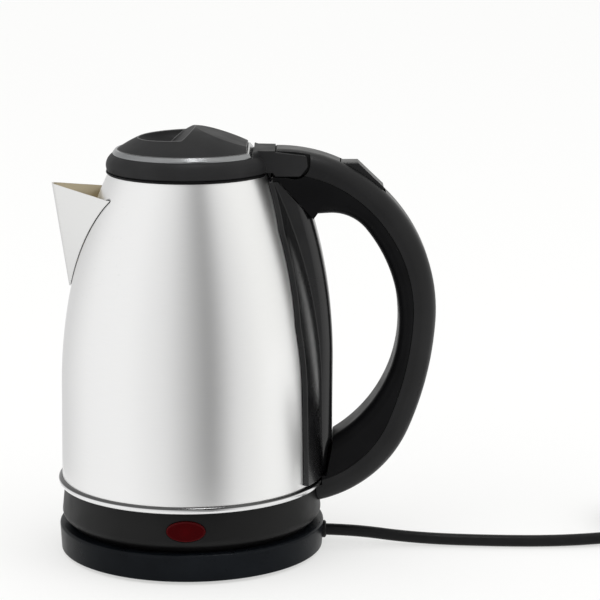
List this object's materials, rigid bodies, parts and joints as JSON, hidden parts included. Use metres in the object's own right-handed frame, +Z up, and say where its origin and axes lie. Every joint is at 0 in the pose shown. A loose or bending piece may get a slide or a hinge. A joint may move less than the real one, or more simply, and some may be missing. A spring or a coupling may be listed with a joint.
{
  "type": "electric kettle",
  "caption": "Cordless steel electric kettle with a loop handle, hinged lid, beak spout and thumb switch, docked on a round power base with a supply cord and plug.",
  "frame": {"origin": "on the table under the middle of the power base, on the vertical axis that base and kettle share", "axes": "+Z up along that axis, +X from the axis towards the handle and the cord, -X towards the spout, -Y towards the indicator lens"},
  "size_m": [0.4693, 0.1588, 0.2455],
  "materials": {
    "base_plastic": "moulded, semi-gloss black",
    "handle_plastic": "moulded, satin black",
    "inner_plastic": "moulded, matt dark grey",
    "steel": "brushed around the body",
    "silver_trim": "satin silver",
    "pin_steel": "bright",
    "element_metal": "as rolled",
    "contact_brass": "bright",
    "red_lens": "tinted clear, glossy",
    "lamp_glass": "clear",
    "rubber": "matt",
    "cord_sheath": "smooth satin sheath",
    "tie_band": "matt"
  },
  "bodies": {
    "power_base": {"base_top_cover": "base_plastic", "base_bottom_cover": "base_plastic", "base_feet": "rubber", "base_screws": "pin_steel", "connector_pillar": "base_plastic", "base_live_contact": "contact_brass", "base_neutral_contact": "contact_brass", "base_earth_contact": "contact_brass", "cord_bush": "base_plastic", "cord_clamp": "base_plastic", "cord_lead": "cord_sheath", "cord_coil": "cord_sheath", "cord_tie": "tie_band", "plug_body": "cord_sheath", "plug_pins": "contact_brass"},
    "kettle": {"floor_housing": "handle_plastic", "indicator_lens": "red_lens", "indicator_lamp": "lamp_glass", "lamp_holder": "inner_plastic", "control_body": "inner_plastic", "socket_live_ring": "contact_brass", "socket_neutral_ring": "contact_brass", "socket_earth_pin": "contact_brass", "dry_boil_discs": "contact_brass", "heat_spreader": "element_metal", "heating_element": "element_metal", "heating_plate": "steel", "seam_ring": "steel", "body_shell": "steel", "spout_filter": "steel", "spout": "steel", "hinge_pin": "pin_steel", "handle_spine": "handle_plastic", "handle_outer": "handle_plastic", "handle_inner": "handle_plastic", "rocker_pin": "pin_steel", "steam_switch": "inner_plastic", "steam_disc": "contact_brass", "switch_strips": "contact_brass"},
    "lid": {"lid_collar": "handle_plastic", "lid_trim": "silver_trim", "lid_cap": "handle_plastic", "lid_inner_plate": "steel", "lid_seal": "rubber"},
    "rocker": {"switch_rocker": "handle_plastic"}
  },
  "joints": [
    {"name": "kettle_lift", "type": "slide", "parent": "power_base", "child": "kettle", "axis": [0, 0, 1], "range_m": [0, 0.08]},
    {"name": "lid_hinge", "type": "hinge", "parent": "kettle", "child": "lid", "pos_m": [0.06, 0, 0.2259], "axis": [0, 1, 0], "range_deg": [0, 80]},
    {"name": "power_switch", "type": "hinge", "parent": "kettle", "child": "rocker", "pos_m": [0.098, 0, 0.2172], "axis": [0, 1, 0], "range_deg": [0, 8]}
  ]
}
